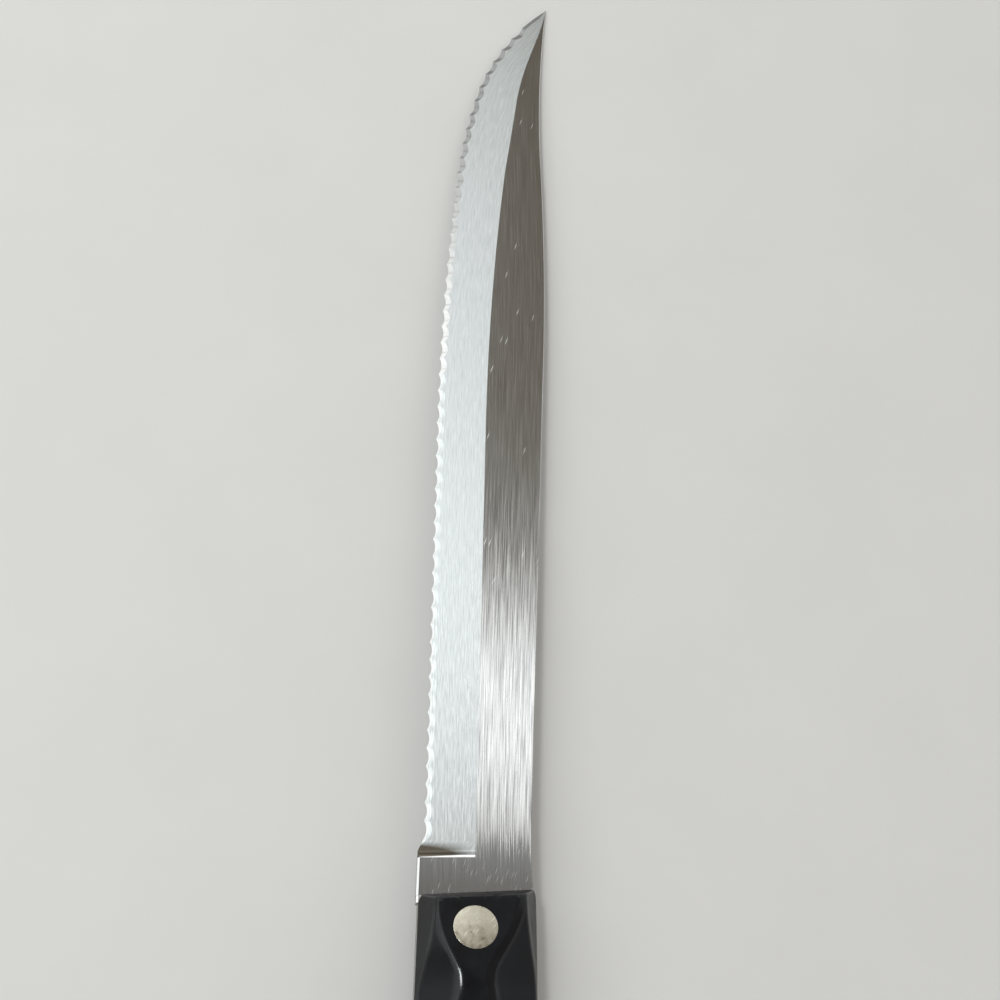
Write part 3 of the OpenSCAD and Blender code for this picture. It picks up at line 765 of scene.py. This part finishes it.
def makeBlade(b, h):
    loft, strokesEdge, strokesSpine, runOut, firstGround, toothRows, spineAt = bladeLoft(b, h)
    rows, cols = loft.shape[:2]
    offset = rows * cols
    tangVerts, tangFaces = tangPlate(b, h, spineAt)
    ends = np.array([np.arange(cols), offset - cols + np.arange(cols)])
    faces = [gridFaces(rows, cols, closed=True), ends] + [f + offset for f in tangFaces]
    mesh = buildMesh("blade", np.concatenate([loft.reshape(-1, 3), tangVerts]), faces, b["sharpAngle"])
    zone = bladeZones(b, (rows, cols), tangFaces, firstGround, toothRows)
    mesh.polygons.foreach_set("material_index", zone.astype(np.int32))
    addStrokes(mesh, zone, *[np.concatenate([strokes.reshape(-1, 2), tangVerts[:, 1::-1]])
                             for strokes in (strokesEdge, strokesSpine)])
    dark = np.zeros(len(mesh.vertices), np.float32)
    dark[:offset] = runOut.ravel()
    mesh.attributes.new("runOut", "FLOAT", "POINT").data.foreach_set("value", dark)
    markCrisp(mesh, offset, cols, toothRows)
    return addPiece("ground_blade", mesh, "blade", steelMaterials)


blade = makeBlade(bladeSet, handleSet)
print("blade made:", len(blade.data.polygons), "faces")


# Scales: a height over the handle's outline, the soft minimum of the panel, sloping walls, scoops and saddle

scaleSet = dict(
    wallInset=3.1, rim=0.5, leastRim=0.2, ridgeX=0.3, ridgeWidth=5.4, flankX=12.5,
    scoopRim=0.35, scoopFront=19.7, scoopRear=25.0, humpRadius=50.0, humpHeight=3.5,
    saddleDepth=1.6, saddleRadius=120.0, saddleFront=19.6, saddleRear=24.0, saddleEnd=1.2, clearHeight=5.0,
    # the scene's own: how far the creases are rounded
    softness=0.9, humpSoftness=1.6, saddleSoftness=0.225,
    rows=(14, 250, 44), cols=96, lean=0.55, sharpAngle=40.0,
)


def scaleHeight(s, h, x, y):
    # the height, and how much of a crease each point lies on: four times the product of the shares of the two
    # surfaces that meet there, kept where no later surface replaces them
    panel = h["thickness"] / 2
    depth = panel - h["tangHalf"]
    lean = s["wallInset"] / (depth - s["rim"])
    slant = math.radians(h["frontSlant"])
    buttY = h["buttRadius"] - h["length"]
    foot = h["tangHalf"] + s["rim"]

    def cutDown(z, crease, lower):
        z, kept = softMin(z, lower, s["softness"])
        return z, np.maximum(crease * kept, 4 * kept * (1 - kept))

    # distances in from the front line, underside, back and butt
    inFront = (x * math.tan(slant) - y) * math.cos(slant)
    inUnder = np.hypot(x - h["underX"] + h["underRadius"], y - h["underY"]) - h["underRadius"]
    inBack = h["backRadius"] - np.hypot(x - h["backX"] + h["backRadius"], y - h["backY"])
    inButt = np.where(y < buttY, h["buttRadius"] - np.hypot(x - h["buttX"], y - buttY), h["buttRadius"])
    # saddle: a level floor with a round run-out at each end, beyond which it is lifted clear of the panel
    run = float(leg(s["saddleRadius"], s["saddleRadius"] - s["saddleDepth"]))
    beyond = np.maximum(np.maximum(y + s["saddleFront"] + run, -h["length"] + s["saddleRear"] + run - y), 0.0)
    saddle = panel - s["saddleDepth"] + s["saddleRadius"] - leg(s["saddleRadius"], beyond)
    saddle = np.where(beyond < run * s["saddleEnd"], saddle, panel + s["clearHeight"])
    z, crease = softMin(np.full(x.shape, panel), saddle, s["saddleSoftness"])[0], np.zeros(x.shape)
    # scoops: a sloping floor along each flank that climbs over a round hump at each end
    slope = math.atan((depth - s["scoopRim"]) / (h["backX"] - s["ridgeX"] - s["ridgeWidth"] / 2))
    climb = float(leg(s["humpRadius"], s["humpRadius"] - s["humpHeight"]))
    for side in (1, -1):
        front = -s["scoopFront"] + side * math.tan(slant) * s["flankX"] + climb
        rear = -h["length"] + s["scoopRear"] - climb
        near = np.minimum(np.abs(y - front), np.abs(y - rear))
        below = s["humpRadius"] - s["humpHeight"] - leg(s["humpRadius"], near)
        hump = -softMin(below, 0.0 * y, s["humpSoftness"])[0]
        out = (x - s["ridgeX"]) * side - s["ridgeWidth"] / 2
        z, crease = cutDown(z, crease, panel + (hump - out * math.sin(slope)) / math.cos(slope))
    for inside in (inUnder, inBack, inFront, inButt):
        z, crease = cutDown(z, crease, foot + inside / lean)
    return np.maximum(z, h["tangHalf"] + s["leastRim"]), crease


def makeScale(name, node, s, h, side):
    x, y = handleGrid(h, s["rows"], s["cols"], s["lean"])
    holes = [(h["rivetX"], rivetY, h["headSeat"], reach - h["headDepth"], h["tubeHole"])
             for rivetY, reach in zip(h["rivetYs"], h["rivetReach"])]
    verts, faces = punchedPlate(x, y, holes, lambda px, py: scaleHeight(s, h, px, py)[0], h["tangHalf"])
    verts[:, 2] *= side
    mesh = buildMesh(name, verts, faces, s["sharpAngle"])
    place = np.zeros(3 * len(mesh.vertices), np.float32)
    mesh.vertices.foreach_get("co", place)
    crease = scaleHeight(s, h, place[0::3] / mm, place[1::3] / mm)[1]
    mesh.attributes.new("crease", "FLOAT", "POINT").data.foreach_set("value", crease.astype(np.float32))
    return addPiece(name, mesh, node, [wornResin])


for name, node, side in (("upper_grip", "upper_scale", 1), ("lower_grip", "lower_scale", -1)):
    scale = makeScale(name, node, scaleSet, handleSet, side)
    print(name, "made:", len(scale.data.polygons), "faces")


# Rivets: profiles spun round an upright axis, a tube from above and a post from below

rivetSet = dict(
    head=4.75, tube=3.15, bore=2.05, post=2.0, endGap=0.6,
    # the scene's own: the rounded rim of the heads
    headRound=0.15, roundCuts=5, turns=96, sharpAngle=40.0,
)


def spunMesh(name, profile, x, y, turns, sharpAngle):
    # a profile of (radius, height) points that starts and ends on the axis, carried round it in equal steps
    profile = np.array(profile)
    angle = np.linspace(0.0, 2 * math.pi, turns, endpoint=False)
    r, z = profile[1:-1, 0][:, None], profile[1:-1, 1][:, None]
    rings = np.stack([x + r * np.cos(angle), y + r * np.sin(angle), z + 0 * angle], -1).reshape(-1, 3)
    poles = np.array([[x, y, profile[0, 1]], [x, y, profile[-1, 1]]])
    rows = len(profile) - 2
    first = np.arange(turns)
    last = (rows - 1) * turns + first
    fans = [np.stack([np.full(turns, rows * turns + k), loop, np.roll(loop, -1)], -1)
            for k, loop in enumerate((first, last))]
    faces = [gridFaces(rows, turns, closed=True)] + fans
    return buildMesh(name, np.concatenate([rings, poles]), faces, sharpAngle)


def makeRivets(r, h):
    arc = np.radians(np.linspace(0.0, 90.0, r["roundCuts"]))
    roundR = r["head"] - r["headRound"] * (1 - np.sin(arc))
    for place, rivetY, reach in zip(("front", "middle", "rear"), h["rivetYs"], h["rivetReach"]):
        under = reach - h["headDepth"]
        end = under - r["endGap"]
        roundZ = reach - r["headRound"] * (1 - np.cos(arc))
        head = [(0.0, reach), *zip(roundR, roundZ), (r["head"], under)]
        tube = head + [(r["tube"], under), (r["tube"], -end), (r["bore"], -end), (r["bore"], under),
                       (0.0, under)]
        post = [(a, -z) for a, z in head] + [(r["post"], -under), (r["post"], end), (0.0, end)]
        for kind, profile in (("tube", tube), ("post", post)):
            mesh = spunMesh(f"{place}_{kind}", profile, h["rivetX"], rivetY, r["turns"], r["sharpAngle"])
            addPiece(f"{place}_{kind}", mesh, f"{place}_rivet_{kind}", [nickelSilver])


makeRivets(rivetSet, handleSet)
print("rivets made")


# Floor and light, with the floor's size and everything of the lamps in metres

floorSet = dict(
    size=40.0, colour=(0.80, 0.79, 0.77), darker=0.97, patchSize=30.0, roughness=0.7,
    frontY=-3.1, frontZ=-8.5, tipY=219.0, tipZ=-0.6,
)


def makeFloor(f):
    # a plane through the lower panel's front edge and the underside near the tip, on which the knife rests
    rise = (f["tipZ"] - f["frontZ"]) / (f["tipY"] - f["frontY"])
    k = np.array([[-1, -1], [1, -1], [1, 1], [-1, 1]]) * f["size"] / 2
    z = f["frontZ"] * mm + rise * (k[:, 1] - f["frontY"] * mm)
    mesh = bpy.data.meshes.new("floor")
    mesh.from_pydata(np.c_[k, z].tolist(), [], [[0, 1, 2, 3]])
    floor = bpy.data.objects.new("floor", mesh)
    scene.collection.objects.link(floor)
    material, tree, shader = newMaterial("paleFloor")
    place = addNode(tree, "ShaderNodeTexCoord").outputs["Object"]
    patch = placeGroup(tree, smudges, Vector=place, Size=f["patchSize"])
    colour = np.array(f["colour"])
    setSockets(tree, shader, {
        "Base Color": mixColour(tree, patch, colour * f["darker"], colour),
        "Roughness": f["roughness"],
    })
    mesh.materials.append(material)


makeFloor(floorSet)

lightSet = dict(
    # lamps on the ceiling, named for what they light: x range, y range, radiance
    ceiling=1.0,
    ceilingLamps=dict(
        bevelRootPanel=((-0.40, 0.045), (0.368, 0.58), 1.30),
        bevelPanel=((-0.40, 0.045), (0.58, 0.80), 1.02),
        bevelTipPanel=((-0.40, 0.045), (0.80, 1.30), 0.72),
        flatPanel=((0.045, 0.42), (0.394, 0.516), 1.62),
        facetPanel=((-2.00, -0.40), (-0.15, 1.05), 1.10),
        facetTipPanel=((-2.00, -0.40), (1.05, 2.20), 0.55),
        sidePanel=((0.45, 1.40), (0.30, 2.20), 0.50),
        backPanel=((-1.40, 1.40), (-2.20, -0.45), 0.32),
        keyLamp=((-0.42, -0.28), (-0.14, 0.0), 32.0),
        glintLamp=((-0.62, -0.38), (0.365, 0.46), 14.0),
    ),
    # upright panels in a ring round the knife, for the views from the other sides
    walls=8, wallReach=2.3, wallHeights=(0.1, 1.7), wallRadiance=0.55,
    lampColour=(0.96, 1.0, 1.03),
    world=(0.15, 0.13, 0.100),
)


def addLamp(name, place, size, aim, radiance, colour):
    # an area lamp's radiance is its power over pi times its area
    data = bpy.data.lights.new(name, "AREA")
    data.shape = "RECTANGLE"
    data.size, data.size_y = size
    data.energy = radiance * math.pi * data.size * data.size_y
    data.color = colour
    lamp = bpy.data.objects.new(name, data)
    lamp.location = place
    lamp.rotation_euler = aim.to_track_quat("-Z", "Y").to_euler()
    lamp.visible_camera = False
    scene.collection.objects.link(lamp)


def makeLights(s):
    for name, (xs, ys, radiance) in s["ceilingLamps"].items():
        addLamp(name, (sum(xs) / 2, sum(ys) / 2, s["ceiling"]), (xs[1] - xs[0], ys[1] - ys[0]),
                Vector((0, 0, -1)), radiance, s["lampColour"])
    low, high = s["wallHeights"]
    length = 2 * s["wallReach"] * math.tan(math.pi / s["walls"])
    for i in range(s["walls"]):
        turn = 2 * math.pi * i / s["walls"]
        aim = Vector((-math.cos(turn), -math.sin(turn), 0))
        place = -aim * s["wallReach"] + Vector((0, 0, (low + high) / 2))
        addLamp(f"wallPanel{i}", place, (length, high - low), aim, s["wallRadiance"], s["lampColour"])
    world = bpy.data.worlds.new("room")
    world.use_nodes = True
    world.node_tree.nodes["Background"].inputs["Color"].default_value = (*s["world"], 1.0)
    scene.world = world


makeLights(lightSet)
print("floor and lights made")
